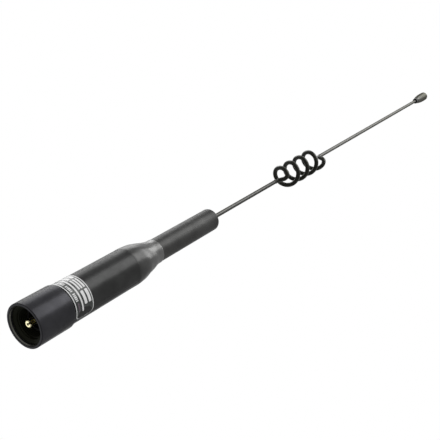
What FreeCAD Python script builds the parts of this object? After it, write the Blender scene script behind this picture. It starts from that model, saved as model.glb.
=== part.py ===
import FreeCAD, Part
import math
import os
import Sketcher

# A dual band mobile antenna that plugs into a vehicle mount.
# The row frame has its origin at the centre of the coupling sleeve's mouth,
# in the plane of the rim, and +Z runs up the whip.
# All lengths are in millimetres and all angles in degrees.

# Driving sizes: name, value, meaning
SIZES = [
    ("sleeve_radius", 11.5, "outside of the coupling sleeve"),
    ("sleeve_length", 22.2, "coupling sleeve from its rim to its rear face"),
    ("sleeve_wall", 1.7, "wall of the sleeve at its mouth"),
    ("sleeve_front_round", 0.6, "rounding of the rim"),
    ("sleeve_rear_round", 1.3, "rounding of the sleeve's rear edge"),
    ("mouth_depth", 2.0, "rim to the front face of the threaded ring"),
    ("bearing_length", 5.6, "thickness of the sleeve's rear wall"),
    ("thread_radius", 7.94, "major radius of the coupling thread"),
    ("thread_bore_radius", 7.4, "minor radius of the coupling thread"),
    ("running_clearance", 0.05, "radial play of the sleeve on the shank"),
    ("end_play", 0.3, "axial play of the sleeve at each end of the flange"),
    ("slip", 0.05, "radial clearance between pieces that are fixed together"),
    ("shank_radius", 7.9, "shank that the sleeve turns on"),
    ("shank_socket", 7.2, "length of the shank inside the base adapter"),
    ("flange_radius", 9.2, "flange that keeps the sleeve captive"),
    ("flange_thickness", 3.0, "thickness of that flange"),
    ("washer_thickness", 1.0, "thrust washer behind the flange"),
    ("washer_radius", 9.0, "outside of the thrust washer"),
    ("barrel_radius", 5.95, "outside of the plug's barrel"),
    ("barrel_wall", 1.1, "wall of the plug's barrel"),
    ("barrel_inset", 7.5, "rim to the barrel's front edge"),
    ("notch_width", 1.6, "locating notch in the barrel's front edge"),
    ("notch_depth", 1.2, "depth of a locating notch"),
    ("notch_count", 4, "locating notches round the barrel"),
    ("tail_bore_radius", 3.0, "bore behind the insulator"),
    ("insulator_length", 12.0, "length of the pin's insulator"),
    ("pin_radius", 1.98, "centre pin"),
    ("pin_inset", 2.2, "rim to the pin's tip"),
    ("pin_free_length", 12.5, "pin that stands clear of the insulator"),
    ("pin_shoulder_radius", 2.4, "pin where the insulator holds it"),
    ("pin_tail", 2.0, "pin behind the insulator"),
    ("pin_bore_radius", 1.15, "bore of the hollow pin"),
    ("pin_tip_round", 0.38, "rounding of the pin's tip"),
    ("pin_solder_depth", 7.0, "pin's tip to the end of the feed wire"),
    ("housing_gap", 0.2, "sleeve's rear face to the housing"),
    ("housing_radius", 10.75, "outside of the housing tube"),
    ("housing_wall", 1.2, "wall of the housing tube"),
    ("housing_length", 49.1, "length of the housing tube"),
    ("housing_edge_round", 0.4, "rounding of the housing's front edge"),
    ("adapter_length", 13.4, "length of the base adapter"),
    ("seal_section_radius", 0.7, "section of the housing seal"),
    ("seal_land", 3.0, "adapter behind the seal's groove"),
    ("label_start", 0.1, "housing's front edge to the label"),
    ("label_length", 12.2, "length of the label along the housing"),
    ("label_glue", 0.02, "glue under the label"),
    ("label_thickness", 0.12, "thickness of the label"),
    ("label_span", 200, "part of the turn that the label covers"),
    ("label_centre", 235, "direction of the label's middle"),
    ("former_length", 22.0, "length of the coil former"),
    ("former_core_radius", 5.9, "core that the matching coil is wound on"),
    ("former_flange", 2.4, "thickness of a former's end flange"),
    ("former_bore_radius", 1.5, "bore of the former"),
    ("coil_wire_radius", 0.6, "wire of the matching coil"),
    ("coil_wire_pitch", 5.0, "pitch of the matching coil"),
    ("feed_wire_radius", 1.1, "wire from the pin to the former"),
    ("output_wire_radius", 0.6, "wire from the former to the whip"),
    ("wire_engagement", 3.0, "length of a lead inside the former"),
    ("capacitor_radius", 5.0, "outside of the tuning capacitor"),
    ("capacitor_thickness", 2.6, "thickness of the tuning capacitor"),
    ("capacitor_round", 0.5, "rounding of the capacitor's edges"),
    ("core_collar", 0.4, "shoulder core between the housing's end and the taper"),
    ("core_bore_radius", 1.3, "bore of the shoulder core"),
    ("core_spigot_length", 17.0, "shoulder core inside the neck"),
    ("boot_overlap", 1.3, "boot that lies on the housing tube"),
    ("boot_wall", 0.5, "wall of the boot"),
    ("boot_proud", 0.04, "how far the boot stands over the housing"),
    ("taper_length", 22.3, "length of the boot's taper"),
    ("crown_length", 10.1, "part of the taper that curves away from the housing"),
    ("flare_length", 4.6, "part of the taper that curves into the neck"),
    ("boot_lip_length", 0.9, "boot that lies on the neck"),
    ("boot_lip_wall", 0.24, "wall of the boot on the neck"),
    ("neck_radius", 6.68, "outside of the neck tube"),
    ("neck_wall", 1.25, "wall of the neck tube"),
    ("neck_length", 54.8, "length of the neck tube"),
    ("neck_end_wall", 5.0, "closed end of the neck tube"),
    ("neck_end_round", 1.6, "rounding of the neck's upper edge"),
    ("whip_radius", 1.3, "whip wire"),
    ("lead_bore_length", 2.8, "ferrule's narrow bore, from the shoulder core to the whip"),
    ("lower_rod_length", 78.7, "neck's end to the corner below the coil"),
    ("upper_rod_length", 187.8, "corner above the coil to the tip collar"),
    ("coil_radius", 7.07, "phasing coil, to the middle of the wire"),
    ("coil_pitch", 13.2, "pitch of the phasing coil"),
    ("coil_turns", 3.765, "turns between the two leads"),
    ("coil_start_angle", 256, "direction where the lower lead meets the coil"),
    ("lower_lead_rise", 3.3, "rise of the lower lead"),
    ("upper_lead_rise", 3.5, "rise of the upper lead"),
    ("rod_bend_radius", 3.0, "bend between a rod and its lead"),
    ("coil_bend_reach", 4.5, "coil's end to the corner of its lead"),
    ("coating_thickness", 0.15, "wall of the coil's coating"),
    ("coating_run", 0.4, "coating on the straight rod at each end"),
    ("collar_radius", 2.3, "outside of the tip collar"),
    ("collar_length", 2.2, "length of the tip collar"),
    ("bead_root_radius", 2.5, "tip bead at its collar"),
    ("bead_radius", 3.68, "tip bead at its widest"),
    ("bead_taper", 11.3, "length over which the bead widens"),
    ("bead_length", 20.2, "length of the tip bead"),
    ("bead_round", 2.4, "rounding of the bead's end"),
    ("bead_engagement", 12.0, "whip inside the bead"),
]

# Sizes and heights that follow from the driving ones: name, formula, meaning
PLACES = [
    ("mouth_radius", "=Sizes.sleeve_radius - Sizes.sleeve_wall", "inside of the sleeve"),
    ("bearing_front", "=Sizes.sleeve_length - Sizes.bearing_length", "inner face of the sleeve's rear wall"),
    ("bearing_radius", "=Sizes.shank_radius + Sizes.running_clearance", "bore of the rear wall"),
    ("washer_back", "=bearing_front - Sizes.end_play", "rear face of the thrust washer"),
    ("washer_bore", "=Sizes.shank_radius + Sizes.slip", "bore of the thrust washer"),
    ("flange_back", "=washer_back - Sizes.washer_thickness", "rear face of the flange"),
    ("flange_front", "=flange_back - Sizes.flange_thickness", "front face of the flange"),
    ("ring_back", "=flange_front - Sizes.end_play", "rear face of the threaded ring"),
    ("lead_in", "=Sizes.mouth_depth + Sizes.thread_radius - Sizes.thread_bore_radius", "end of the lead-in"),
    ("barrel_bore", "=Sizes.barrel_radius - Sizes.barrel_wall", "bore of the barrel"),
    ("notch_floor", "=Sizes.barrel_inset + Sizes.notch_depth", "floor of the locating notches"),
    ("insulator_radius", "=barrel_bore - Sizes.slip", "outside of the insulator"),
    ("insulator_bore", "=Sizes.pin_shoulder_radius + Sizes.slip", "bore of the insulator"),
    ("insulator_front", "=Sizes.pin_inset + Sizes.pin_free_length", "front face of the insulator"),
    ("insulator_back", "=insulator_front + Sizes.insulator_length", "rear face of the insulator"),
    ("pin_back", "=insulator_back + Sizes.pin_tail", "rear end of the pin"),
    ("feed_start", "=Sizes.pin_inset + Sizes.pin_solder_depth", "end of the feed wire in the pin"),
    ("housing_front", "=Sizes.sleeve_length + Sizes.housing_gap", "front edge of the housing"),
    ("housing_back", "=housing_front + Sizes.housing_length", "upper edge of the housing"),
    ("housing_bore", "=Sizes.housing_radius - Sizes.housing_wall", "bore of the housing tube"),
    ("insert_radius", "=housing_bore - Sizes.slip", "outside of what fits in the housing"),
    ("shank_back", "=housing_front + Sizes.shank_socket", "rear end of the shank"),
    ("adapter_back", "=housing_front + Sizes.adapter_length", "rear face of the base adapter"),
    ("seal_radius", "=insert_radius - Sizes.seal_section_radius", "seal, to the middle of its section"),
    ("groove_radius", "=seal_radius - Sizes.seal_section_radius - Sizes.slip", "floor of the seal's groove"),
    ("groove_back", "=adapter_back - Sizes.seal_land", "rear side of the groove"),
    ("seal_height", "=groove_back - Sizes.slip - Sizes.seal_section_radius", "middle of the seal"),
    ("groove_front", "=seal_height - Sizes.seal_section_radius - Sizes.slip", "front side of the groove"),
    ("label_front", "=housing_front + Sizes.label_start", "front edge of the label"),
    ("label_back", "=label_front + Sizes.label_length", "rear edge of the label"),
    ("label_bore", "=Sizes.housing_radius + Sizes.label_glue", "inside of the label"),
    ("label_radius", "=label_bore + Sizes.label_thickness", "outside of the label"),
    ("former_back", "=adapter_back + Sizes.former_length", "rear face of the former"),
    ("winding_front", "=adapter_back + Sizes.former_flange", "inner face of the lower flange"),
    ("winding_back", "=former_back - Sizes.former_flange", "inner face of the upper flange"),
    ("winding_radius", "=Sizes.former_core_radius + Sizes.slip + Sizes.coil_wire_radius", "wire's middle"),
    ("winding_start", "=winding_front + Sizes.coil_wire_radius + Sizes.slip", "start of the winding"),
    ("winding_height", "=winding_back - winding_start - Sizes.coil_wire_radius - Sizes.slip", "its height"),
    ("feed_length", "=adapter_back + Sizes.wire_engagement - feed_start", "length of the feed wire"),
    ("capacitor_bore", "=Sizes.output_wire_radius + Sizes.slip", "bore of the capacitor"),
    ("core_front", "=former_back + Sizes.capacitor_thickness", "lower face of the shoulder core"),
    ("boot_radius", "=Sizes.housing_radius + Sizes.boot_proud", "outside of the boot on the housing"),
    ("boot_seat", "=boot_radius - Sizes.boot_wall", "what the boot lies on"),
    ("boot_front", "=housing_back - Sizes.boot_overlap", "lower edge of the boot"),
    ("taper_front", "=housing_back + Sizes.core_collar", "start of the taper"),
    ("taper_back", "=taper_front + Sizes.taper_length", "end of the taper"),
    ("crown_back", "=taper_front + Sizes.crown_length", "end of the taper's first curve"),
    ("flare_front", "=taper_back - Sizes.flare_length", "start of the taper's last curve"),
    ("taper_run", "=Sizes.taper_length - (Sizes.crown_length + Sizes.flare_length) / 2", "its slope's run"),
    ("boot_lip_radius", "=Sizes.neck_radius + Sizes.boot_lip_wall", "outside of the boot on the neck"),
    ("boot_back", "=taper_back + Sizes.boot_lip_length", "upper edge of the boot"),
    ("inner_slope", "=(boot_seat - Sizes.neck_radius) / taper_run", "slope of the core's cone"),
    ("inner_crown", "=boot_seat - inner_slope * Sizes.crown_length / 2", "core at its first curve's end"),
    ("inner_flare", "=Sizes.neck_radius + inner_slope * Sizes.flare_length / 2", "core at its last curve"),
    ("inner_bend", "=inner_slope / 4 + 1 / inner_slope", "the core's arcs, as radius over length"),
    ("inner_crown_arc", "=Sizes.crown_length * inner_bend", "radius of the core's first curve"),
    ("inner_flare_arc", "=Sizes.flare_length * inner_bend", "radius of the core's last curve"),
    ("outer_slope", "=(boot_radius - boot_lip_radius) / taper_run", "slope of the boot's cone"),
    ("outer_crown", "=boot_radius - outer_slope * Sizes.crown_length / 2", "boot at its first curve's end"),
    ("outer_flare", "=boot_lip_radius + outer_slope * Sizes.flare_length / 2", "boot at its last curve"),
    ("outer_bend", "=outer_slope / 4 + 1 / outer_slope", "the boot's arcs, as radius over length"),
    ("outer_crown_arc", "=Sizes.crown_length * outer_bend", "radius of the boot's first curve"),
    ("outer_flare_arc", "=Sizes.flare_length * outer_bend", "radius of the boot's last curve"),
    ("neck_bore", "=Sizes.neck_radius - Sizes.neck_wall", "bore of the neck tube"),
    ("neck_insert", "=neck_bore - Sizes.slip", "outside of what fits in the neck"),
    ("neck_back", "=taper_back + Sizes.neck_length", "upper end of the neck"),
    ("neck_ceiling", "=neck_back - Sizes.neck_end_wall", "inner face of the neck's closed end"),
    ("spigot_back", "=taper_back + Sizes.core_spigot_length", "upper end of the shoulder core"),
    ("whip_bore", "=Sizes.whip_radius + Sizes.slip", "bore that holds the whip"),
    ("whip_front", "=spigot_back + Sizes.lead_bore_length", "lower end of the whip"),
    ("ferrule_bore", "=Sizes.output_wire_radius + Sizes.slip", "ferrule's bore for the lead"),
    ("output_start", "=former_back - Sizes.wire_engagement", "lower end of the output wire"),
    ("output_length", "=whip_front - output_start", "length of the output wire"),
    ("lower_corner", "=neck_back + Sizes.lower_rod_length", "corner between lower rod and lead"),
    ("coating_bore", "=Sizes.whip_radius + Sizes.slip / 2", "inside of the coil's coating"),
    ("coating_radius", "=coating_bore + Sizes.coating_thickness", "outside of the coil's coating"),
]


class Antenna:
    """The document, its two sheets and the checks on what they drive."""

    def __init__(self):
        self.doc = FreeCAD.newDocument("antenna")
        self.owner = {}
        self.pieces = []
        self.add_sheet("Sizes", SIZES)
        self.add_sheet("Places", PLACES)
        self.doc.recompute()

    def add_sheet(self, title, rows):
        sheet = self.doc.addObject("Spreadsheet::Sheet", title)
        for row, (name, content, meaning) in enumerate(rows, start=1):
            sheet.set(f"A{row}", name)
            sheet.set(f"B{row}", str(content))
            sheet.set(f"C{row}", meaning)
            sheet.setAlias(f"B{row}", name)
            self.owner[name] = sheet

    def value(self, name):
        return float(self.owner[name].get(name))

    def cell(self, name):
        return f"{self.owner[name].Name}.{name}"

    def add_body(self, label):
        body = self.doc.addObject("PartDesign::Body", label)
        body.Label = label
        self.pieces.append(body)
        return body

    def write(self, folder):
        self.doc.recompute()
        for thing in self.doc.Objects:
            if "Invalid" in thing.State or "Error" in thing.State:
                raise RuntimeError(f"{thing.Name} failed: {thing.State}")
        for piece in self.pieces:
            shape = piece.Shape
            if shape.isNull() or not shape.isValid() or not shape.Solids:
                raise RuntimeError(f"{piece.Label} has no sound solid")
        os.makedirs(folder, exist_ok=True)
        for piece in self.pieces:
            piece.Shape.exportStep(f"{folder}/{piece.Label}.step")
            print(f"{piece.Label}: {piece.Shape.Volume:.1f} mm3")


def origin_plane(body, role):
    return next(plane for plane in body.Origin.OriginFeatures if plane.Role == role)


def new_sketch(body, name, role):
    sketch = body.newObject("Sketcher::SketchObject", name)
    sketch.AttachmentSupport = [(origin_plane(body, role), "")]
    sketch.MapMode = "FlatFace"
    return sketch


def pin_point(model, sketch, geometry, end, across, along):
    """Hold one end of a sketch element at a named radius and height; None is the sketch's own axis."""
    for kind, axis_line, name in (("DistanceX", -2, across), ("DistanceY", -1, along)):
        if name is None:
            sketch.addConstraint(Sketcher.Constraint("PointOnObject", geometry, end, axis_line))
            continue
        index = sketch.addConstraint(Sketcher.Constraint(kind, geometry, end, model.value(name)))
        sketch.setExpression(f"Constraints[{index}]", model.cell(name))


def arc_between(start, end, radius, bulge):
    """The short arc from start to end; bulge is +1 when it bows to the left of that direction."""
    chord = end - start
    side = FreeCAD.Vector(-chord.y, chord.x, 0).normalize()
    depth = math.sqrt(radius ** 2 - chord.Length ** 2 / 4)
    centre = (start + end) / 2 - side * depth * bulge
    middle = centre + side * radius * bulge
    return Part.Arc(start, middle, end)


def profile_sketch(model, body, points, arcs):
    """A closed outline of (radius, height) names; arcs maps a side to its radius name and bulge."""
    sketch = new_sketch(body, body.Label + "_profile", "XZ_Plane")
    corners = []
    for across, along in points:
        x = 0 if across is None else model.value(across)
        y = 0 if along is None else model.value(along)
        corners.append(FreeCAD.Vector(x, y, 0))
    starts = []
    for side, start in enumerate(corners):
        end = corners[(side + 1) % len(corners)]
        if side in arcs:
            radius, bulge = arcs[side]
            sketch.addGeometry(arc_between(start, end, model.value(radius), bulge))
            # An arc runs anticlockwise in a sketch, so its ends swap where it bows the other way
            starts.append((side, 2, 1) if bulge > 0 else (side, 1, 2))
        else:
            sketch.addGeometry(Part.LineSegment(start, end))
            starts.append((side, 1, 2))
    for side, (geometry, first, last) in enumerate(starts):
        following = starts[(side + 1) % len(starts)]
        link = Sketcher.Constraint("Coincident", geometry, last, following[0], following[1])
        sketch.addConstraint(link)
    for (geometry, first, last), (across, along) in zip(starts, points):
        pin_point(model, sketch, geometry, first, across, along)
    for side, (radius, bulge) in arcs.items():
        index = sketch.addConstraint(Sketcher.Constraint("Radius", side, model.value(radius)))
        sketch.setExpression(f"Constraints[{index}]", model.cell(radius))
    return sketch


def turned(model, label, points, arcs=None):
    """A piece turned about the antenna's axis from its half section."""
    body = model.add_body(label)
    sketch = profile_sketch(model, body, points, arcs or {})
    turn = body.newObject("PartDesign::Revolution", label + "_turn")
    turn.Profile = sketch
    turn.ReferenceAxis = (sketch, ["V_Axis"])
    turn.Angle = 360
    model.doc.recompute()
    return body


def round_edges(model, body, places, radius):
    """Round the circular edges that lie at the given (radius, height) names."""
    base = body.Tip
    wanted = []
    for across, along in places:
        height = 0 if along is None else model.value(along)
        for number, edge in enumerate(base.Shape.Edges, start=1):
            if not isinstance(edge.Curve, Part.Circle):
                continue
            same_radius = math.isclose(edge.Curve.Radius, model.value(across), abs_tol=1e-5)
            if same_radius and math.isclose(edge.Curve.Center.z, height, abs_tol=1e-5):
                wanted.append(f"Edge{number}")
    fillet = body.newObject("PartDesign::Fillet", body.Label + "_round_" + radius)
    fillet.Base = (base, wanted)
    fillet.setExpression("Radius", model.cell(radius))
    model.doc.recompute()


# Coupling: the sleeve and the threaded ring pressed into it turn freely on the plug

def coupling_sleeve(model):
    body = turned(model, "coupling_sleeve", [
        ("mouth_radius", None),
        ("sleeve_radius", None),
        ("sleeve_radius", "sleeve_length"),
        ("bearing_radius", "sleeve_length"),
        ("bearing_radius", "bearing_front"),
        ("mouth_radius", "bearing_front"),
    ])
    round_edges(model, body, [("sleeve_radius", None), ("mouth_radius", None)], "sleeve_front_round")
    round_edges(model, body, [("sleeve_radius", "sleeve_length")], "sleeve_rear_round")


def coupling_thread_ring(model):
    turned(model, "coupling_thread_ring", [
        ("thread_radius", "mouth_depth"),
        ("mouth_radius", "mouth_depth"),
        ("mouth_radius", "ring_back"),
        ("thread_bore_radius", "ring_back"),
        ("thread_bore_radius", "lead_in"),
    ])


# Plug: barrel with locating notches, insulator and hollow pin

def plug_body(model):
    body = turned(model, "plug_body", [
        ("barrel_bore", "barrel_inset"),
        ("barrel_radius", "barrel_inset"),
        ("barrel_radius", "flange_front"),
        ("flange_radius", "flange_front"),
        ("flange_radius", "flange_back"),
        ("shank_radius", "flange_back"),
        ("shank_radius", "shank_back"),
        ("tail_bore_radius", "shank_back"),
        ("tail_bore_radius", "insulator_back"),
        ("barrel_bore", "insulator_back"),
    ])
    cut_notches(model, body)


def cut_notches(model, body):
    """One notch across half of the barrel's front edge, repeated round the axis."""
    sketch = new_sketch(body, "notch_profile", "XY_Plane")
    half = model.value("notch_width") / 2
    reach = model.value("barrel_radius") + model.value("barrel_wall")
    corners = [(0, -half), (reach, -half), (reach, half), (0, half)]
    corners = [FreeCAD.Vector(x, y, 0) for x, y in corners]
    for side in range(4):
        sketch.addGeometry(Part.LineSegment(corners[side], corners[(side + 1) % 4]))
    for side in range(4):
        sketch.addConstraint(Sketcher.Constraint("Coincident", side, 2, (side + 1) % 4, 1))
    for side in (0, 2):
        sketch.addConstraint(Sketcher.Constraint("Horizontal", side))
    sketch.addConstraint(Sketcher.Constraint("Vertical", 3))
    sketch.addConstraint(Sketcher.Constraint("PointOnObject", 0, 1, -2))
    sketch.addConstraint(Sketcher.Constraint("Symmetric", 0, 2, 1, 2, -1))
    across = sketch.addConstraint(Sketcher.Constraint("DistanceY", 1, 1, 1, 2, 2 * half))
    sketch.setExpression(f"Constraints[{across}]", model.cell("notch_width"))
    along = sketch.addConstraint(Sketcher.Constraint("DistanceX", 0, 1, 0, 2, reach))
    outside = f"{model.cell('barrel_radius')} + {model.cell('barrel_wall')}"
    sketch.setExpression(f"Constraints[{along}]", outside)
    notch = body.newObject("PartDesign::Pocket", "notch")
    notch.Profile = sketch
    notch.Reversed = True
    notch.setExpression("Length", model.cell("notch_floor"))
    model.doc.recompute()
    pattern = body.newObject("PartDesign::PolarPattern", "notches")
    pattern.Originals = [notch]
    pattern.Axis = (sketch, ["N_Axis"])
    pattern.Angle = 360
    pattern.setExpression("Occurrences", model.cell("notch_count"))
    body.Tip = pattern
    model.doc.recompute()


def pin_insulator(model):
    turned(model, "pin_insulator", [
        ("insulator_bore", "insulator_front"),
        ("insulator_radius", "insulator_front"),
        ("insulator_radius", "insulator_back"),
        ("insulator_bore", "insulator_back"),
    ])


def center_pin(model):
    body = turned(model, "center_pin", [
        ("pin_bore_radius", "pin_inset"),
        ("pin_radius", "pin_inset"),
        ("pin_radius", "insulator_front"),
        ("pin_shoulder_radius", "insulator_front"),
        ("pin_shoulder_radius", "pin_back"),
        ("pin_bore_radius", "pin_back"),
    ])
    tip = [("pin_radius", "pin_inset"), ("pin_bore_radius", "pin_inset")]
    round_edges(model, body, tip, "pin_tip_round")


def thrust_washer(model):
    turned(model, "thrust_washer", [
        ("washer_bore", "flange_back"),
        ("washer_radius", "flange_back"),
        ("washer_radius", "washer_back"),
        ("washer_bore", "washer_back"),
    ])


# Housing: adapter, seal, tube, label and the matching network inside

def base_adapter(model):
    turned(model, "base_adapter", [
        ("washer_bore", "housing_front"),
        ("insert_radius", "housing_front"),
        ("insert_radius", "groove_front"),
        ("groove_radius", "groove_front"),
        ("groove_radius", "groove_back"),
        ("insert_radius", "groove_back"),
        ("insert_radius", "adapter_back"),
        ("tail_bore_radius", "adapter_back"),
        ("tail_bore_radius", "shank_back"),
        ("washer_bore", "shank_back"),
    ])


def housing_seal(model):
    seal = model.doc.addObject("Part::Torus", "housing_seal")
    seal.Label = "housing_seal"
    seal.setExpression("Radius1", model.cell("seal_radius"))
    seal.setExpression("Radius2", model.cell("seal_section_radius"))
    seal.setExpression("Placement.Base.z", model.cell("seal_height"))
    model.pieces.append(seal)


def housing_tube(model):
    body = turned(model, "housing_tube", [
        ("housing_bore", "housing_front"),
        ("housing_radius", "housing_front"),
        ("housing_radius", "boot_front"),
        ("boot_seat", "boot_front"),
        ("boot_seat", "housing_back"),
        ("housing_bore", "housing_back"),
    ])
    round_edges(model, body, [("housing_radius", "housing_front")], "housing_edge_round")


def label_band(model):
    """A wrapped label, turned to face the side that the print is on."""
    body = model.add_body("label_band")
    sketch = profile_sketch(model, body, [
        ("label_bore", "label_front"),
        ("label_radius", "label_front"),
        ("label_radius", "label_back"),
        ("label_bore", "label_back"),
    ], {})
    wrap = body.newObject("PartDesign::Revolution", "label_wrap")
    wrap.Profile = sketch
    wrap.ReferenceAxis = (sketch, ["V_Axis"])
    wrap.Midplane = True
    wrap.setExpression("Angle", model.cell("label_span"))
    model.doc.recompute()
    turn = FreeCAD.Rotation(FreeCAD.Vector(0, 0, 1), model.value("label_centre"))
    body.Placement = FreeCAD.Placement(FreeCAD.Vector(), turn)


def coil_former(model):
    turned(model, "coil_former", [
        ("former_bore_radius", "adapter_back"),
        ("insert_radius", "adapter_back"),
        ("insert_radius", "winding_front"),
        ("former_core_radius", "winding_front"),
        ("former_core_radius", "winding_back"),
        ("insert_radius", "winding_back"),
        ("insert_radius", "former_back"),
        ("former_bore_radius", "former_back"),
    ])


def matching_coil(model):
    body = model.add_body("matching_coil")
    sketch = new_sketch(body, "wire_section", "XZ_Plane")
    centre = FreeCAD.Vector(model.value("winding_radius"), model.value("winding_start"), 0)
    radius = model.value("coil_wire_radius")
    sketch.addGeometry(Part.Circle(centre, FreeCAD.Vector(0, 0, 1), radius))
    pin_point(model, sketch, 0, 3, "winding_radius", "winding_start")
    index = sketch.addConstraint(Sketcher.Constraint("Radius", 0, radius))
    sketch.setExpression(f"Constraints[{index}]", model.cell("coil_wire_radius"))
    winding = body.newObject("PartDesign::AdditiveHelix", "winding")
    winding.Profile = sketch
    winding.ReferenceAxis = (sketch, ["V_Axis"])
    winding.Mode = "pitch-height-angle"
    winding.setExpression("Pitch", model.cell("coil_wire_pitch"))
    winding.setExpression("Height", model.cell("winding_height"))
    model.doc.recompute()


def straight_wire(model, label, radius, start, length):
    wire = model.doc.addObject("Part::Cylinder", label)
    wire.Label = label
    wire.setExpression("Radius", model.cell(radius))
    wire.setExpression("Height", model.cell(length))
    wire.setExpression("Placement.Base.z", model.cell(start))
    model.pieces.append(wire)


def tuning_capacitor(model):
    body = turned(model, "tuning_capacitor", [
        ("capacitor_bore", "former_back"),
        ("capacitor_radius", "former_back"),
        ("capacitor_radius", "core_front"),
        ("capacitor_bore", "core_front"),
    ])
    rims = [("capacitor_radius", "former_back"), ("capacitor_radius", "core_front")]
    round_edges(model, body, rims, "capacitor_round")


# Shoulder and neck: the core that carries the neck, the boot over both and the whip's ferrule

def shoulder_core(model):
    turned(model, "shoulder_core", [
        ("core_bore_radius", "core_front"),
        ("insert_radius", "core_front"),
        ("insert_radius", "housing_back"),
        ("boot_seat", "housing_back"),
        ("boot_seat", "taper_front"),
        ("inner_crown", "crown_back"),
        ("inner_flare", "flare_front"),
        ("neck_radius", "taper_back"),
        ("neck_insert", "taper_back"),
        ("neck_insert", "spigot_back"),
        ("core_bore_radius", "spigot_back"),
    ], {4: ("inner_crown_arc", -1), 6: ("inner_flare_arc", 1)})


def shrink_boot(model):
    turned(model, "shrink_boot", [
        ("boot_seat", "boot_front"),
        ("boot_radius", "boot_front"),
        ("boot_radius", "taper_front"),
        ("outer_crown", "crown_back"),
        ("outer_flare", "flare_front"),
        ("boot_lip_radius", "taper_back"),
        ("boot_lip_radius", "boot_back"),
        ("neck_radius", "boot_back"),
        ("neck_radius", "taper_back"),
        ("inner_flare", "flare_front"),
        ("inner_crown", "crown_back"),
        ("boot_seat", "taper_front"),
    ], {
        2: ("outer_crown_arc", -1),
        4: ("outer_flare_arc", 1),
        8: ("inner_flare_arc", -1),
        10: ("inner_crown_arc", 1),
    })


def neck_tube(model):
    body = turned(model, "neck_tube", [
        ("neck_bore", "taper_back"),
        ("neck_radius", "taper_back"),
        ("neck_radius", "neck_back"),
        ("whip_bore", "neck_back"),
        ("whip_bore", "neck_ceiling"),
        ("neck_bore", "neck_ceiling"),
    ])
    round_edges(model, body, [("neck_radius", "neck_back")], "neck_end_round")


def whip_ferrule(model):
    turned(model, "whip_ferrule", [
        ("ferrule_bore", "spigot_back"),
        ("neck_insert", "spigot_back"),
        ("neck_insert", "neck_ceiling"),
        ("whip_bore", "neck_ceiling"),
        ("whip_bore", "whip_front"),
        ("ferrule_bore", "whip_front"),
    ])


# Whip: one wire bent into the left-handed phasing coil, with a coating over the coil

def unit(vector):
    return vector / vector.Length


def bend(before, corner, after, reach):
    """The arc that rounds a corner of the wire, reach long on each side of it."""
    back = unit(before - corner)
    ahead = unit(after - corner)
    half_opening = back.getAngle(ahead) / 2
    radius = reach * math.tan(half_opening)
    bisector = unit(back + ahead)
    centre = corner + bisector * (reach / math.cos(half_opening))
    middle = centre - bisector * radius
    return Part.Arc(corner + back * reach, middle, corner + ahead * reach)


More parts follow.
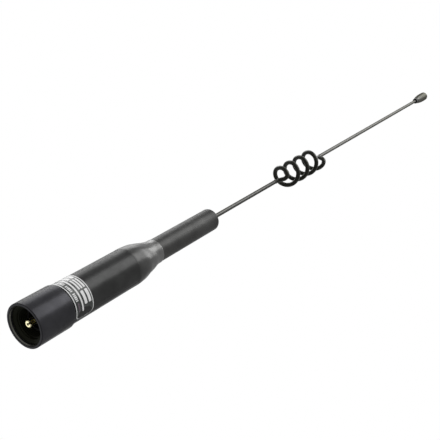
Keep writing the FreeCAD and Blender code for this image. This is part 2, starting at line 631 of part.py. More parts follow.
class WhipPath:
    """The corners of the whip's centre line, from the neck to the tip."""

    def __init__(self, model):
        value = model.value
        self.radius = value("coil_radius")
        self.pitch = value("coil_pitch")
        self.turns = value("coil_turns")
        self.reach = value("coil_bend_reach")
        self.rod_bend = value("rod_bend_radius")
        rise_per_turn = math.atan2(self.pitch, 2 * math.pi * self.radius)
        self.climb = math.sin(rise_per_turn)
        self.level = math.cos(rise_per_turn)
        lower_corner = value("lower_corner")
        start_height = lower_corner + value("lower_lead_rise") + self.reach * self.climb
        start_angle = math.radians(value("coil_start_angle"))
        end_angle = start_angle - 2 * math.pi * self.turns
        end_height = start_height + self.pitch * self.turns
        self.start_angle = start_angle
        self.start = self.on_coil(start_angle, start_height)
        self.end = self.on_coil(end_angle, end_height)
        self.lower_lead = self.start - self.along_coil(start_angle) * self.reach
        self.upper_lead = self.end + self.along_coil(end_angle) * self.reach
        self.lower_rod = FreeCAD.Vector(0, 0, lower_corner)
        upper_corner = self.upper_lead.z + value("upper_lead_rise")
        self.upper_rod = FreeCAD.Vector(0, 0, upper_corner)
        self.top = upper_corner + value("upper_rod_length")

    def on_coil(self, angle, height):
        across = self.radius * math.cos(angle)
        return FreeCAD.Vector(across, self.radius * math.sin(angle), height)

    def along_coil(self, angle):
        """Direction of the wire where it climbs clockwise, seen from the tip."""
        return FreeCAD.Vector(self.level * math.sin(angle), -self.level * math.cos(angle), self.climb)

    def rod_reach(self, corner, lead):
        upright = FreeCAD.Vector(0, 0, 1 if lead.z < corner.z else -1)
        return self.rod_bend / math.tan(upright.getAngle(lead - corner) / 2)

    def edges(self, bottom, top):
        """The centre line between two heights on the rods."""
        low = FreeCAD.Vector(0, 0, bottom)
        high = FreeCAD.Vector(0, 0, top)
        lower_reach = self.rod_reach(self.lower_rod, self.lower_lead)
        upper_reach = self.rod_reach(self.upper_rod, self.upper_lead)
        bends = [
            bend(low, self.lower_rod, self.lower_lead, lower_reach),
            bend(self.lower_rod, self.lower_lead, self.start, self.reach),
            bend(self.end, self.upper_lead, self.upper_rod, self.reach),
            bend(self.upper_lead, self.upper_rod, high, upper_reach),
        ]
        helix = Part.makeHelix(self.pitch, self.pitch * self.turns, self.radius, 0, True)
        helix.rotate(FreeCAD.Vector(), FreeCAD.Vector(0, 0, 1), math.degrees(self.start_angle))
        helix.translate(FreeCAD.Vector(0, 0, self.start.z))
        first, second, third, last = bends
        chain = [Part.LineSegment(low, first.StartPoint).toShape(), first.toShape()]
        chain.append(Part.LineSegment(first.EndPoint, second.StartPoint).toShape())
        chain.append(second.toShape())
        chain.extend(helix.Edges)
        chain.append(third.toShape())
        chain.append(Part.LineSegment(third.EndPoint, last.StartPoint).toShape())
        chain.append(last.toShape())
        chain.append(Part.LineSegment(last.EndPoint, high).toShape())
        return chain

    def swept(self, bottom, top, radius):
        """A round wire of the given radius along the centre line."""
        path = Part.Wire(self.edges(bottom, top))
        low = FreeCAD.Vector(0, 0, bottom)
        section = Part.Wire([Part.makeCircle(radius, low, FreeCAD.Vector(0, 0, 1))])
        return path.makePipeShell([section], True, False)

    def coated_span(self, run):
        lower_reach = self.rod_reach(self.lower_rod, self.lower_lead)
        upper_reach = self.rod_reach(self.upper_rod, self.upper_lead)
        return self.lower_rod.z - lower_reach - run, self.upper_rod.z + upper_reach + run


def shaped(model, label, shape):
    """A piece whose form is worked out here from the sheet's sizes."""
    feature = model.doc.addObject("Part::Feature", label)
    feature.Label = label
    feature.Shape = shape
    feature.Placement = FreeCAD.Placement()
    model.pieces.append(feature)


def whip_wire(model, path):
    top = path.top + model.value("collar_length") + model.value("bead_engagement")
    shaped(model, "whip_wire", path.swept(model.value("whip_front"), top, model.value("whip_radius")))


def coil_coating(model, path):
    bottom, top = path.coated_span(model.value("coating_run"))
    outside = path.swept(bottom, top, model.value("coating_radius"))
    inside = path.swept(bottom, top, model.value("coating_bore"))
    shaped(model, "coil_coating", outside.cut(inside))


# Tip: a short collar and the bead that ends the whip

def tip_pieces(model, path):
    rows = [
        ("collar_front", path.top, "lower edge of the tip collar"),
        ("bead_front", "=collar_front + Sizes.collar_length", "lower end of the tip bead"),
        ("bead_bore_end", "=bead_front + Sizes.bead_engagement", "end of the bead's bore"),
        ("bead_shoulder", "=bead_front + Sizes.bead_taper", "where the bead is widest"),
        ("bead_end", "=bead_front + Sizes.bead_length", "end of the bead"),
        ("bead_growth", "=Sizes.bead_radius - Sizes.bead_root_radius", "how much the bead widens"),
        ("bead_sweep", "=(bead_growth ^ 2 + Sizes.bead_taper ^ 2) / (2 * bead_growth)", "its arc"),
    ]
    model.add_sheet("Tip", rows)
    model.doc.recompute()
    turned(model, "tip_collar", [
        ("whip_bore", "collar_front"),
        ("collar_radius", "collar_front"),
        ("collar_radius", "bead_front"),
        ("whip_bore", "bead_front"),
    ])
    bead = turned(model, "tip_bead", [
        ("whip_bore", "bead_front"),
        ("bead_root_radius", "bead_front"),
        ("bead_radius", "bead_shoulder"),
        ("bead_radius", "bead_end"),
        (None, "bead_end"),
        (None, "bead_bore_end"),
        ("whip_bore", "bead_bore_end"),
    ], {1: ("bead_sweep", -1)})
    round_edges(model, bead, [("bead_radius", "bead_end")], "bead_round")


def main():
    model = Antenna()
    coupling_sleeve(model)
    coupling_thread_ring(model)
    plug_body(model)
    pin_insulator(model)
    center_pin(model)
    thrust_washer(model)
    base_adapter(model)
    housing_seal(model)
    housing_tube(model)
    label_band(model)
    coil_former(model)
    matching_coil(model)
    straight_wire(model, "feed_wire", "feed_wire_radius", "feed_start", "feed_length")
    tuning_capacitor(model)
    straight_wire(model, "output_wire", "output_wire_radius", "output_start", "output_length")
    shoulder_core(model)
    shrink_boot(model)
    neck_tube(model)
    whip_ferrule(model)
    path = WhipPath(model)
    whip_wire(model, path)
    coil_coating(model, path)
    tip_pieces(model, path)
    model.write("parts")


main()
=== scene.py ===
import math
import bpy
from mathutils import Matrix, Vector


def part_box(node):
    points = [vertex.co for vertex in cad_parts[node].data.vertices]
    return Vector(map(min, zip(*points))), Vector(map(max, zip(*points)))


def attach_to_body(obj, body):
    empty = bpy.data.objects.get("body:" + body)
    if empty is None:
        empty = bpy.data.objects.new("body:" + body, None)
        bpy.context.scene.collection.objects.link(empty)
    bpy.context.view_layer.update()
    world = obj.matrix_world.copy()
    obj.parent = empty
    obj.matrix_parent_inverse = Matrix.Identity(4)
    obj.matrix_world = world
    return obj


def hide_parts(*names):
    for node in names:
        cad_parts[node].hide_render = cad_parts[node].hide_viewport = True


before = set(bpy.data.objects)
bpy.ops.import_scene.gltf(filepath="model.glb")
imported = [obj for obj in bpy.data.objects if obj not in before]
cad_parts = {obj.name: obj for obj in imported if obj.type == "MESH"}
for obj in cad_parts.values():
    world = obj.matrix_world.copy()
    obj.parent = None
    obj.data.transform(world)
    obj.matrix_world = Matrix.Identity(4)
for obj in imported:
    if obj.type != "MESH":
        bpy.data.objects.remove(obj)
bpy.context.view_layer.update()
bpy.context.scene.view_settings.view_transform = "Standard"

# Lengths in this script are in millimetres where a name doesn't say otherwise
MM = 0.001

# Camera, fitted to the rim's ellipse and the tubes' outlines in the photograph
CAMERA_PLACE = (0.0, -313.47, -210.67)
CAMERA_FORWARD = (0.00694, 0.64972, 0.76015)
CAMERA_UP = (-0.86627, -0.37583, 0.32914)
CAMERA_CLIP_START_M = 0.01
PICTURE_WIDTH_PX = 440
FOCAL_LENGTH_PX = 799.6
SENSOR_WIDTH = 36.0

# Light that the world gives to plain surfaces, where white is 1
PLAIN_LEVEL = 0.4

FLOOR_HEIGHT = -1100.0
FLOOR_SIZE = 24000.0

# The side of the antenna that faces the camera, as a direction round the axis
NEAR_SIDE = 270.0
TURN_STEPS = 192
ROUND_STEPS = 7

# The boot's film is let into the housing behind their seam
BOOT_THICKNESS = 0.46

# The label's film lies on the housing, and its print stands a little above the film
LABEL_RADIUS = 10.89
FILM_THICKNESS = 0.1
PRINT_THICKNESS = 0.02

# Length of one degree round the label
LABEL_DEGREE = math.pi / 180 * LABEL_RADIUS

# Mottling of the finishes, in features per metre
MOTTLE_SCALE = 90.0
MOTTLE_DETAIL = 3.0

# Tint of a dark metallic finish at grazing angles
DARK_EDGE = (0.35, 0.35, 0.35)


def node_size(node):
    """The outer radius of a turned node and the heights of its two ends, from its box."""
    low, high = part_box(node)
    radius = min(-low[0], -low[1], high[0], high[1])
    return radius / MM, low[2] / MM, high[2] / MM


# Camera and light

def add_camera():
    camera = bpy.data.objects.new("camera", bpy.data.cameras.new("camera"))
    camera.data.sensor_width = SENSOR_WIDTH
    camera.data.lens = FOCAL_LENGTH_PX / PICTURE_WIDTH_PX * SENSOR_WIDTH
    camera.data.clip_start = CAMERA_CLIP_START_M
    forward = Vector(CAMERA_FORWARD).normalized()
    right = forward.cross(Vector(CAMERA_UP)).normalized()
    up = right.cross(forward)
    turn = Matrix((right, up, -forward)).transposed()
    camera.matrix_world = Matrix.Translation(Vector(CAMERA_PLACE) * MM) @ turn.to_4x4()
    bpy.context.scene.collection.objects.link(camera)
    bpy.context.scene.camera = camera


def add_world():
    """White where the camera, gloss and glass see it, and plain soft light elsewhere."""
    world = bpy.data.worlds.new("studio")
    bpy.context.scene.world = world
    world.use_nodes = True
    nodes = world.node_tree.nodes
    links = world.node_tree.links
    nodes.clear()
    path = nodes.new("ShaderNodeLightPath")
    camera_or_gloss = nodes.new("ShaderNodeMath")
    camera_or_gloss.operation = "MAXIMUM"
    links.new(path.outputs["Is Camera Ray"], camera_or_gloss.inputs[0])
    links.new(path.outputs["Is Glossy Ray"], camera_or_gloss.inputs[1])
    seen = nodes.new("ShaderNodeMath")
    seen.operation = "MAXIMUM"
    links.new(camera_or_gloss.outputs[0], seen.inputs[0])
    links.new(path.outputs["Is Transmission Ray"], seen.inputs[1])
    strength = nodes.new("ShaderNodeMapRange")
    strength.inputs["To Min"].default_value = PLAIN_LEVEL
    strength.inputs["To Max"].default_value = 1.0
    links.new(seen.outputs[0], strength.inputs["Value"])
    background = nodes.new("ShaderNodeBackground")
    background.inputs["Color"].default_value = (1.0, 1.0, 1.0, 1.0)
    links.new(strength.outputs["Result"], background.inputs["Strength"])
    output = nodes.new("ShaderNodeOutputWorld")
    links.new(background.outputs[0], output.inputs["Surface"])


def add_area_light(name, place, aim, size, radiance):
    """A softbox of the given size and radiance."""
    lamp = bpy.data.lights.new(name, "AREA")
    lamp.shape = "RECTANGLE"
    lamp.size = size[0] * MM
    lamp.size_y = size[1] * MM
    lamp.energy = radiance * math.pi * lamp.size * lamp.size_y
    light = bpy.data.objects.new(name, lamp)
    light.location = Vector(place) * MM
    direction = (Vector(aim) - Vector(place)).normalized()
    light.rotation_euler = direction.to_track_quat("-Z", "Y").to_euler()
    bpy.context.scene.collection.objects.link(light)


# Materials

def plain_material(name, color, roughness, metallic=0.0, specular=0.5, edge_tint=None):
    material = bpy.data.materials.new(name)
    material.use_nodes = True
    shader = material.node_tree.nodes["Principled BSDF"]
    shader.inputs["Base Color"].default_value = (*color, 1.0)
    shader.inputs["Roughness"].default_value = roughness
    shader.inputs["Metallic"].default_value = metallic
    shader.inputs["Specular IOR Level"].default_value = specular
    if edge_tint is not None:
        shader.inputs["Specular Tint"].default_value = (*edge_tint, 1.0)
    return material


def object_noise(material, scale, stretch, detail=4.0):
    """Noise fixed to the piece, with its scale in features per metre."""
    nodes = material.node_tree.nodes
    links = material.node_tree.links
    place = nodes.new("ShaderNodeTexCoord")
    mapping = nodes.new("ShaderNodeMapping")
    mapping.inputs["Scale"].default_value = stretch
    links.new(place.outputs["Object"], mapping.inputs["Vector"])
    noise = nodes.new("ShaderNodeTexNoise")
    noise.inputs["Scale"].default_value = scale
    noise.inputs["Detail"].default_value = detail
    links.new(mapping.outputs[0], noise.inputs["Vector"])
    return noise.outputs["Fac"]


def vary_color(material, fac, dark, light):
    nodes = material.node_tree.nodes
    ramp = nodes.new("ShaderNodeValToRGB")
    ramp.color_ramp.elements[0].position = 0.35
    ramp.color_ramp.elements[0].color = (*dark, 1.0)
    ramp.color_ramp.elements[1].position = 0.65
    ramp.color_ramp.elements[1].color = (*light, 1.0)
    material.node_tree.links.new(fac, ramp.inputs["Fac"])
    material.node_tree.links.new(ramp.outputs["Color"], nodes["Principled BSDF"].inputs["Base Color"])


def vary_roughness(material, fac, low, high):
    nodes = material.node_tree.nodes
    spread = nodes.new("ShaderNodeMapRange")
    spread.inputs["From Min"].default_value = 0.3
    spread.inputs["From Max"].default_value = 0.7
    spread.inputs["To Min"].default_value = low
    spread.inputs["To Max"].default_value = high
    material.node_tree.links.new(fac, spread.inputs["Value"])
    target = nodes["Principled BSDF"].inputs["Roughness"]
    material.node_tree.links.new(spread.outputs["Result"], target)


def add_bump(material, fac, height):
    nodes = material.node_tree.nodes
    bump = nodes.new("ShaderNodeBump")
    bump.inputs["Distance"].default_value = height * MM
    bump.inputs["Strength"].default_value = 1.0
    material.node_tree.links.new(fac, bump.inputs["Height"])
    material.node_tree.links.new(bump.outputs["Normal"], nodes["Principled BSDF"].inputs["Normal"])


def grained(name, color, roughness, grain, specular=0.5, spread=0.2, metallic=0.0, edge_tint=None,
            stretch=(1.0, 1.0, 1.0), height=0.006):
    """A finish whose colour, gloss and surface vary finely.

    Grain is its feature size, spread the share by which its colour varies, and height the bump's.
    """
    material = plain_material(name, color, roughness, metallic, specular, edge_tint)
    coarse = object_noise(material, MOTTLE_SCALE, stretch, MOTTLE_DETAIL)
    fine = object_noise(material, 1 / (grain * MM), stretch)
    dark = [channel * (1 - spread) for channel in color]
    light = [channel * (1 + spread) for channel in color]
    vary_color(material, coarse, dark, light)
    vary_roughness(material, fine, roughness * 0.88, roughness * 1.12)
    add_bump(material, fine, height)
    return material


def scale_along(material, start, end, last):
    """Scale a finish's colour along the axis, from 1 at the start to last at the end."""
    nodes = material.node_tree.nodes
    links = material.node_tree.links
    base = nodes["Principled BSDF"].inputs["Base Color"]
    varied = base.links[0].from_socket
    place = nodes.new("ShaderNodeTexCoord")
    split = nodes.new("ShaderNodeSeparateXYZ")
    links.new(place.outputs["Object"], split.inputs[0])
    along = nodes.new("ShaderNodeMapRange")
    along.interpolation_type = "SMOOTHSTEP"
    along.inputs["From Min"].default_value = start * MM
    along.inputs["From Max"].default_value = end * MM
    along.inputs["To Min"].default_value = 1.0
    along.inputs["To Max"].default_value = last
    links.new(split.outputs["Z"], along.inputs["Value"])
    scaled = nodes.new("ShaderNodeVectorMath")
    scaled.operation = "SCALE"
    links.new(varied, scaled.inputs[0])
    links.new(along.outputs["Result"], scaled.inputs["Scale"])
    links.new(scaled.outputs[0], base)


def dress(node, material):
    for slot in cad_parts[node].material_slots:
        slot.material = material


# Shapes

def rounded(corners, closed):
    """The outline through (radius, height, rounding) corners, with an arc at each rounded one."""
    points = []
    count = len(corners)
    for index, corner in enumerate(corners):
        place = Vector(corner[:2])
        rounding = corner[2] if len(corner) > 2 else 0.0
        at_end = not closed and index in (0, count - 1)
        if rounding == 0.0 or at_end:
            points.append(tuple(place))
            continue
        back = (Vector(corners[index - 1][:2]) - place).normalized()
        ahead = (Vector(corners[(index + 1) % count][:2]) - place).normalized()
        half = back.angle(ahead) / 2
        reach = rounding / math.tan(half)
        centre = place + (back + ahead).normalized() * (rounding / math.sin(half))
        first = place + back * reach - centre
        last = place + ahead * reach - centre
        sweep = first.angle_signed(last)
        for step in range(ROUND_STEPS + 1):
            angle = -sweep * step / ROUND_STEPS
            turned = Matrix.Rotation(angle, 2) @ first
            points.append(tuple(centre + turned))
    return points


def new_object(name, vertices, faces, material, crease=40.0):
    mesh = bpy.data.meshes.new(name)
    mesh.from_pydata([Vector(vertex) * MM for vertex in vertices], [], faces)
    mesh.validate()
    mesh.shade_smooth()
    mesh.set_sharp_from_angle(angle=math.radians(crease))
    piece = bpy.data.objects.new(name, mesh)
    piece.data.materials.append(material)
    bpy.context.scene.collection.objects.link(piece)
    return piece


def turned_mesh(outline, closed, first=0.0, span=360.0, steps=TURN_STEPS, shift=None):
    """Vertices and faces of an outline turned about the axis; shift moves a point's radius."""
    whole = span >= 360.0
    columns = steps if whole else steps + 1
    vertices = []
    for column in range(columns):
        angle = math.radians(first + span * column / steps)
        for radius, height in outline:
            reach = radius + (shift(angle, height) if shift else 0.0)
            vertices.append((reach * math.cos(angle), reach * math.sin(angle), height))
    faces = []
    rows = len(outline)
    sides = rows if closed else rows - 1
    for column in range(steps):
        here = column * rows
        there = ((column + 1) % columns) * rows
        for row in range(sides):
            following = (row + 1) % rows
            faces.append((here + row, there + row, there + following, here + following))
    if not whole and closed:
        faces.append(tuple(range(rows - 1, -1, -1)))
        faces.append(tuple(range(steps * rows, (steps + 1) * rows)))
    return vertices, faces


def turned_piece(name, corners, material):
    vertices, faces = turned_mesh(rounded(corners, closed=True), closed=True)
    return new_object(name, vertices, faces, material)


def attach(piece, body, slot, *replaced):
    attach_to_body(piece, body)
    if replaced:
        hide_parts(*replaced)


def joined(parts):
    """One mesh out of several lists of vertices and faces."""
    vertices = []
    faces = []
    for part_vertices, part_faces in parts:
        offset = len(vertices)
        vertices.extend(part_vertices)
        faces.extend(tuple(index + offset for index in face) for face in part_faces)
    return vertices, faces


# Coupling

def coupling_sleeve(material, chamfer_material):
    """The sleeve, with a wall round the plug's shank at its rear and a chamfer at its mouth, coloured light
    as a painted highlight.
    """
    radius, rim, rear = node_size("coupling_sleeve")
    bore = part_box("coupling_thread_ring")[1][0] / MM
    shank_bore = 7.95
    rear_wall = 5.6
    chamfer_width = 0.5
    chamfer_depth = 1.0
    sleeve = turned_piece("sleeve", [
        (bore, rim + chamfer_depth),
        (bore + 0.32, rim + 0.35),
        (bore + chamfer_width, rim, 0.12),
        (radius, rim, 0.45),
        (radius, rear, 1.2),
        (shank_bore, rear, 0.2),
        (shank_bore, rear - rear_wall, 0.2),
        (bore, rear - rear_wall),
    ], material)
    attach(sleeve, "coupling", "sleeve_black", "coupling_sleeve")
    chamfer = turned_mesh([
        (bore + 0.01, rim + chamfer_depth),
        (bore - 0.02, rim + 0.95),
        (bore + 0.30, rim + 0.3),
        (bore + 0.34, rim + 0.33),
    ], closed=False)
    attach(new_object("sleeve_chamfer", *chamfer, chamfer_material), "coupling", "sleeve_black")


def thread(minor, major, pitch, start, turns):
    """A helical thread that fades out over a part of a turn at its two ends."""
    steps = 96
    fade_steps = 20
    first_crest = 0.6
    root = major + 0.05
    section = [(root, -0.45), (minor, -0.12), (minor, 0.12), (root, 0.45)]
    total = turns * steps
    vertices = []
    for step in range(total + 1):
        angle = 2 * math.pi * step / steps
        climb = start + pitch * (first_crest + step / steps)
        fade = min(1.0, step / fade_steps, (total - step) / fade_steps)
        for reach, rise in section:
            kept = root + (reach - root) * fade
            vertices.append((kept * math.cos(angle), kept * math.sin(angle), climb + rise * pitch))
    faces = []
    rows = len(section)
    for step in range(total):
        here = step * rows
        there = here + rows
        for row in range(rows - 1):
            faces.append((here + row, there + row, there + row + 1, here + row + 1))
    return vertices, faces


def coupling_ring(material):
    """The threaded ring: a lead-in and a real thread of 24 turns to the inch."""
    radius, front, back = node_size("coupling_thread_ring")
    minor = 7.4
    major = 7.94
    pitch = 25.4 / 24
    lead_in = 0.9
    face_width = 0.7
    start = front + lead_in
    body = turned_mesh(rounded([
        (major, start),
        (radius - face_width, front, 0.1),
        (radius, front),
        (radius, back),
        (major, back),
    ], closed=True), closed=True)
    turns = math.floor((back - start) / pitch) - 1
    vertices, faces = joined([body, thread(minor, major, pitch, start, turns)])
    ring = new_object("ring", vertices, faces, material)
    attach(ring, "coupling", "ring_black", "coupling_thread_ring")


# Plug

def center_pin(material, solder_shade_material):
    """The hollow pin, with a solder slot in the near side of its tip and solder in its bore, coloured dark
    as painted shade of the bore.
    """
    low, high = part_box("center_pin")
    tip = low[2] / MM
    back = high[2] / MM
    radius = 1.98
    bore = 0.62
    tip_rounding = 0.75
    slot_half = 21.0
    slot_depth = 3.2
    outline = rounded([
        (bore, tip, 0.12),
        (radius, tip, tip_rounding),
        (radius, tip + slot_depth),
        (bore, tip + slot_depth),
    ], closed=True)
    slotted = turned_mesh(outline, True, NEAR_SIDE + slot_half, 360 - 2 * slot_half, steps=84)
    whole = turned_mesh([
        (bore, tip + slot_depth),
        (radius, tip + slot_depth),
        (radius, back),
        (bore, back),
    ], closed=True, steps=96)
    vertices, faces = joined([slotted, whole])
    pin = new_object("pin", vertices, faces, material)
    attach(pin, "antenna", "pin_gold", "center_pin")
    solder_radius = bore - 0.02
    solder_back = tip + 6.0
    solder_and_shade = turned_mesh([
        (0.0, tip + 2.4),
        (0.4, tip + 2.5),
        (solder_radius, tip + 2.0),
        (solder_radius, solder_back),
        (0.0, solder_back),
    ], closed=False, steps=48)
    attach(new_object("pin_solder_and_shade", *solder_and_shade, solder_shade_material), "antenna", "lead_tinned")


# Housing, boot and neck

def housing_tube(material):
    radius, front, back = node_size("housing_tube")
    wall = 1.2
    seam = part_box("shrink_boot")[0][2] / MM
    tube = turned_piece("housing", [
        (radius - wall, front),
        (radius, front, 0.35),
        (radius, seam),
        (radius - BOOT_THICKNESS, seam),
        (radius - BOOT_THICKNESS, back),
        (radius - wall, back),
    ], material)
    attach(tube, "antenna", "housing_black", "housing_tube")


def shrink_boot(material):
    """Film shrunk over the shoulder: a crown, a straight slope and a flare onto the neck."""
    low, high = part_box("shrink_boot")
    radius = high[0] / MM
    front = low[2] / MM
    back = high[2] / MM
    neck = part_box("neck_tube")[1][0] / MM
    start = front + 1.7
    end = back - 0.9
    crown = 10.1
    flare = 4.6
    lip = neck + 0.24
    slope = (radius - lip) / (end - start - (crown + flare) / 2)
    outline = [(radius - BOOT_THICKNESS, front), (radius - 0.06, front), (radius, front + 0.12)]
    steps = 46
    for step in range(steps + 1):
        height = start + (end - start) * step / steps
        if height < start + crown:
            reach = radius - slope * (height - start) ** 2 / (2 * crown)
        elif height < end - flare:
            reach = radius - slope * (crown / 2 + height - start - crown)
        else:
            reach = lip + slope * (end - height) ** 2 / (2 * flare)
        outline.append((reach, height))
    outline.extend([(lip, back - 0.15), (lip - 0.1, back), (neck - 0.02, back)])

    def lumps(angle, height):
        """Slack folds of the film over the shoulder, none at its two edges."""
        share = (height - start) / (end - start)
        if share <= 0 or share >= 1:
            return 0.0
        window = math.sin(math.pi * share) ** 1.5
        broad_fold = 0.10 * math.sin(4 * angle + 0.22 * height + 1.6)
        narrow_fold = 0.07 * math.sin(9 * angle - 0.35 * height + 4.1)
        ripple = 0.05 * math.sin(0.9 * height + 2 * math.sin(2 * angle))
        sunk = 0.06
        return window * (broad_fold + narrow_fold + ripple) - sunk * window

    vertices, faces = turned_mesh(outline, closed=False, shift=lumps)
    boot = new_object("boot", vertices, faces, material)
    attach(boot, "antenna", "boot_black", "shrink_boot")


def neck_tube(material, glue_material):
    """The neck, rounded at its end, where a bead of glue closes the gap round the whip."""
    low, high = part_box("neck_tube")
    radius = high[0] / MM
    front = low[2] / MM
    back = high[2] / MM
    wall = 1.25
    end_wall = 5.0
    whip = 1.3
    whip_hole = whip + 0.05
    recess = whip + 0.35
    recess_depth = 0.5
    tube = turned_piece("neck", [
        (radius - wall, front),
        (radius, front),
        (radius, back, 1.6),
        (whip + 0.6, back, 0.25),
        (recess, back - recess_depth),
        (whip_hole, back - recess_depth),
        (whip_hole, back - end_wall),
        (radius - wall, back - end_wall),
    ], material)
    attach(tube, "antenna", "neck_black", "neck_tube")
    glue = turned_mesh([
        (whip + 0.36, back - 0.45),
        (whip + 0.28, back - 0.18),
        (whip + 0.12, back - 0.02),
        (whip + 0.01, back + 0.3),
    ], closed=False, steps=48)
    attach(new_object("neck_glue", *glue, glue_material), "antenna", "core_plastic")


# Label: a film with a frame line, a long bar, stacked bars and rows of ticks

def on_cylinder(radius, across, height):
    """A point that lies across millimetres round the cylinder from its near side."""
    angle = math.radians(NEAR_SIDE) + across / LABEL_RADIUS
    return (radius * math.cos(angle), radius * math.sin(angle), height)


def block_loop(centre, size, corner, steps):
    """Points round a block with rounded corners; steps are those of its long and short sides."""
    half_width = size[0] / 2
    half_height = size[1] / 2
    corner_steps = 6
    points = []
    corner_centres = [
        (half_width - corner, half_height - corner, 0),
        (corner - half_width, half_height - corner, 90),
        (corner - half_width, corner - half_height, 180),
        (half_width - corner, corner - half_height, 270),
    ]
    for index, (x, y, start) in enumerate(corner_centres):
        for step in range(corner_steps + 1):
            angle = math.radians(start + 90 * step / corner_steps)
            points.append((x + corner * math.cos(angle), y + corner * math.sin(angle)))
        next_x, next_y, next_start = corner_centres[(index + 1) % 4]
        angle = math.radians(next_start)
        last = points[-1]
        goal = (next_x + corner * math.cos(angle), next_y + corner * math.sin(angle))
        for step in range(1, steps[index % 2]):
            share = step / steps[index % 2]
            x = last[0] + (goal[0] - last[0]) * share
            points.append((x, last[1] + (goal[1] - last[1]) * share))
    return [(centre[0] + x, centre[1] + y) for x, y in points]


def side_steps(size):
    """Steps fine enough for the block's chords to stay on the cylinder."""
    longest_chord = 0.3
    return max(3, round(size[0] / longest_chord)), 3


def raised_band(outer, inner, base, top):
    """A raised band between two loops of equally many points, laid on the cylinder."""
    count = len(outer)
    vertices = []
    for loop, radius in ((outer, base), (outer, top), (inner, top), (inner, base)):
        vertices.extend(on_cylinder(radius, x, y) for x, y in loop)
    faces = []
    for row in range(3):
        for index in range(count):
            following = (index + 1) % count
            first = row * count
            second = (row + 1) * count
            faces.append((first + index, first + following, second + following, second + index))
    return vertices, faces


def raised_block(centre, size, corner, base=LABEL_RADIUS, top=LABEL_RADIUS + PRINT_THICKNESS):
    """A filled block: a band that closes on its middle line."""
    line = 0.02
    middle = (max(size[0] - size[1], line), line)
    steps = side_steps(size)
    outer = block_loop(centre, size, corner, steps)
    inner = block_loop(centre, middle, line / 4, steps)
    return raised_band(outer, inner, base, top)


def stacked_bars(centre, size, count):
    """Bars of equal height above each other, with narrower gaps between."""
    bar_share = 0.64
    pitch = size[1] / (count - (1 - bar_share))
    bars = []
    for row in range(count):
        height = centre[1] + pitch * (row - (count - 1) / 2)
        bars.append(raised_block((centre[0], height), (size[0], pitch * bar_share), 0.4))
    return joined(bars)


def frame_line(centre, size):
    """The line round the label, thinner along the label's lower end."""
    steps = side_steps(size)
    outer = block_loop(centre, (size[0] - 0.5, size[1] - 0.5), 2.4, steps)
    inner_centre = (centre[0] + 0.11, centre[1])
    inner = block_loop(inner_centre, (size[0] - 1.13, size[1] - 1.36), 2.1, steps)
    return raised_band(outer, inner, LABEL_RADIUS, LABEL_RADIUS + PRINT_THICKNESS)


def tick_row(height):
    """Ticks of three widths in groups of five, from the near side of the label to its far end."""
    width = 0.46
    pitch = 4.7
    group = 6
    ticks = []
    for index in range(26):
        if index % group != group - 1:
            place = ((11.0 - pitch * index) * LABEL_DEGREE, height)
            ticks.append(raised_block(place, (width + 0.14 * (index % 3), 1.55), 0.2))
    return joined(ticks)


def fine_tick_row(height):
    """Small faint ticks, not quite in line."""
    pitch = 2.9
    ticks = []
    for index in range(8):
        place = ((18.0 + pitch * index) * LABEL_DEGREE, height + 0.12 * math.sin(2.3 * index))
        ticks.append(raised_block(place, (0.36, 0.8 + 0.25 * (index % 2)), 0.12))
    return joined(ticks)


def label(film_material, print_material, faint_material):
    low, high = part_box("label_band")
    front = low[2] / MM
    back = high[2] / MM
    half_length = 100 * LABEL_DEGREE
    centre = (-35 * LABEL_DEGREE, (front + back) / 2)
    size = (2 * half_length, back - front)
    film = raised_block(centre, size, 2.6, LABEL_RADIUS - FILM_THICKNESS, LABEL_RADIUS)
    attach(new_object("label_film", *film, film_material), "antenna", "label_print", "label_band")

    row_height = front + 2.35
    bar_height = front + 4.75
    stack_height = front + 8.6
    bar_start = centre[0] - half_length + 3.0
    bar_end = 44 * LABEL_DEGREE
    bar_centre = ((bar_start + bar_end) / 2, bar_height)
    marks = [frame_line(centre, size), raised_block(bar_centre, (bar_end - bar_start, 0.95), 0.3)]
    stack_size = (35.5 * LABEL_DEGREE, 4.4)
    for index, middle in enumerate((11.0, -29.0, -69.0, -109.0)):
        marks.append(stacked_bars((middle * LABEL_DEGREE, stack_height), stack_size, 2 + index % 2))
    marks.append(tick_row(row_height))
    attach(new_object("label_marks", *joined(marks), print_material), "antenna", "label_print")

    fine_marks = fine_tick_row(row_height)
    attach(new_object("label_fine_marks", *fine_marks, faint_material), "antenna", "label_print")


# Stage

def add_floor():
    half = FLOOR_SIZE / 2
    corners = [(x, y, FLOOR_HEIGHT) for x, y in ((-half, -half), (half, -half), (half, half), (-half, half))]
    paper = plain_material("floor_paper", (0.9, 0.9, 0.9), 0.9)
    floor = new_object("floor", corners, [(0, 1, 2, 3)], paper)


add_camera()
add_world()
add_floor()
add_area_light("key", place=(-236, -616, 700), aim=(0, 0, 700), size=(600, 760), radiance=5.5)
add_area_light("side", place=(-640, 300, 730), aim=(0, 0, 730), size=(600, 800), radiance=5.2)
add_area_light("top", place=(-200, -300, 1700), aim=(0, 0, 90), size=(800, 800), radiance=6.5)
add_area_light("rim", place=(-150, 620, -420), aim=(0, 0, 0), size=(600, 500), radiance=1.3)

# Finishes of the coupling and the plug

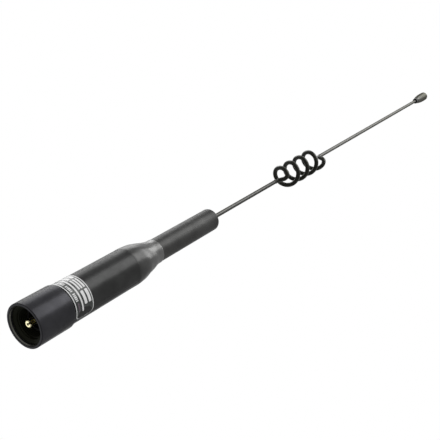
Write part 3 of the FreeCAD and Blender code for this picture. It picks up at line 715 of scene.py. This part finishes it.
sleeve_black = grained(
    "sleeve_black", (0.0245, 0.0245, 0.0272), roughness=0.31, grain=0.4, specular=0.2,
    metallic=0.6, edge_tint=DARK_EDGE, height=0.004)
# Painted highlight: a light metal colour on the mouth's chamfer stands in for the light line at the rim's
# inner edge
chamfer_highlight = grained(
    "sleeve_chamfer_highlight", (0.16, 0.16, 0.14), roughness=0.3, grain=0.2, metallic=0.9,
    edge_tint=(0.7, 0.7, 0.7), height=0.004)
# Painted shade: the thread ring is coloured near-black with almost no gloss, for the shade inside the mouth
ring_black = grained(
    "ring_black", (0.008, 0.0085, 0.0045), roughness=0.5, grain=0.3, specular=0.06, height=0.005)
# Partly painted shade: the plug's black plating is made near-black with little gloss, so that the deep bore
# stays dark
plug_black_and_shade = grained(
    "plug_dark_nickel", (0.006, 0.006, 0.006), roughness=0.45, grain=0.3, specular=0.1, height=0.005)
insulator = grained(
    "insulator_dark", (0.045, 0.028, 0.006), roughness=0.4, grain=0.5, specular=0.15, height=0.005)
gold = grained(
    "pin_gold", (0.80, 0.74, 0.48), roughness=0.30, grain=0.2, spread=0.06, metallic=1.0,
    edge_tint=(0.8, 0.75, 0.5), height=0.01)
# Partly painted shade: the solder in the pin's bore is coloured near-black, for the shade inside the bore
solder_and_shade = grained("pin_solder_and_shade", (0.05, 0.045, 0.03), roughness=0.5, grain=0.3, specular=0.4)

# Finishes of the housing, the label, the boot and the neck

housing = grained(
    "housing_black", (0.0250, 0.0253, 0.0250), roughness=0.32, grain=0.4, specular=0.2,
    metallic=0.6, edge_tint=DARK_EDGE, height=0.004)
film = grained(
    "label_film", (0.017, 0.021, 0.019), roughness=0.36, grain=0.3, specular=0.3, height=0.005)
marks = grained(
    "label_marks", (0.68, 0.68, 0.68), roughness=0.6, grain=0.2, specular=0.15, spread=0.05,
    height=0.003)
faint_marks = grained(
    "label_fine_marks", (0.13, 0.095, 0.12), roughness=0.5, grain=0.2, specular=0.3, spread=0.1,
    height=0.003)
boot = grained(
    "boot_black", (0.035, 0.035, 0.0345), roughness=0.32, grain=0.9, specular=0.4, metallic=0.62,
    edge_tint=(0.48, 0.48, 0.48), height=0.003)
# Painted reflection: the boot's colour grows up to 2.7 times lighter towards the neck, standing in for the
# white surroundings reflected in its flare
scale_along(boot, 74.0, 90.0, 2.7)
neck = grained(
    "neck_black", (0.037, 0.037, 0.0362), roughness=0.43, grain=0.5, specular=0.3, metallic=0.6,
    edge_tint=DARK_EDGE, height=0.002)
glue = plain_material("neck_glue", (0.02, 0.02, 0.02), 0.35)

# Finishes of the whip: drawn steel, coloured lighter above the coil as a painted highlight, and the coil's
# coating

steel = grained(
    "whip_steel", (0.067, 0.0665, 0.0645), roughness=0.39, grain=0.12, spread=0.12, metallic=1.0,
    edge_tint=(0.38, 0.38, 0.36), stretch=(1.0, 1.0, 0.03), height=0.01)
# Painted highlight: the same wire is coloured 1.55 times lighter above the coil
scale_along(steel, 240.0, 280.0, 1.55)
coating = grained(
    "coating_black", (0.012, 0.0122, 0.0088), roughness=0.33, grain=0.3, specular=0.45,
    metallic=0.5, edge_tint=(0.55, 0.55, 0.55), height=0.003)
collar = plain_material("collar_black", (0.008, 0.008, 0.008), 0.5, specular=0.25)
bead = grained(
    "bead_steel", (0.100, 0.100, 0.094), roughness=0.38, grain=0.15, spread=0.12, metallic=1.0,
    edge_tint=(0.3, 0.3, 0.28), stretch=(1.0, 1.0, 0.2), height=0.01)

coupling_sleeve(sleeve_black, chamfer_highlight)
coupling_ring(ring_black)
center_pin(gold, solder_and_shade)
housing_tube(housing)
shrink_boot(boot)
neck_tube(neck, glue)
label(film, marks, faint_marks)

# Nodes that the others hide: node, finish, colour, roughness and metallic share

for node, name, color, roughness, metallic in (
    ("thrust_washer", "washer_steel", (0.55, 0.55, 0.55), 0.35, 1.0),
    ("base_adapter", "adapter_brass", (0.70, 0.58, 0.34), 0.35, 1.0),
    ("housing_seal", "seal_rubber", (0.03, 0.03, 0.03), 0.6, 0.0),
    ("coil_former", "former_white", (0.75, 0.74, 0.70), 0.5, 0.0),
    ("matching_coil", "coil_copper", (0.72, 0.43, 0.26), 0.3, 1.0),
    ("feed_wire", "feed_tinned", (0.62, 0.62, 0.60), 0.35, 1.0),
    ("output_wire", "output_tinned", (0.62, 0.62, 0.60), 0.35, 1.0),
    ("tuning_capacitor", "capacitor_ceramic", (0.45, 0.28, 0.14), 0.4, 0.0),
    ("shoulder_core", "core_plastic", (0.05, 0.05, 0.05), 0.5, 0.0),
    ("whip_ferrule", "ferrule_brass", (0.70, 0.58, 0.34), 0.35, 1.0),
):
    dress(node, grained(name, color, roughness, grain=0.4, spread=0.08, metallic=metallic))
dress("plug_body", plug_black_and_shade)
dress("pin_insulator", insulator)
dress("whip_wire", steel)
dress("coil_coating", coating)
dress("tip_collar", collar)
dress("tip_bead", bead)
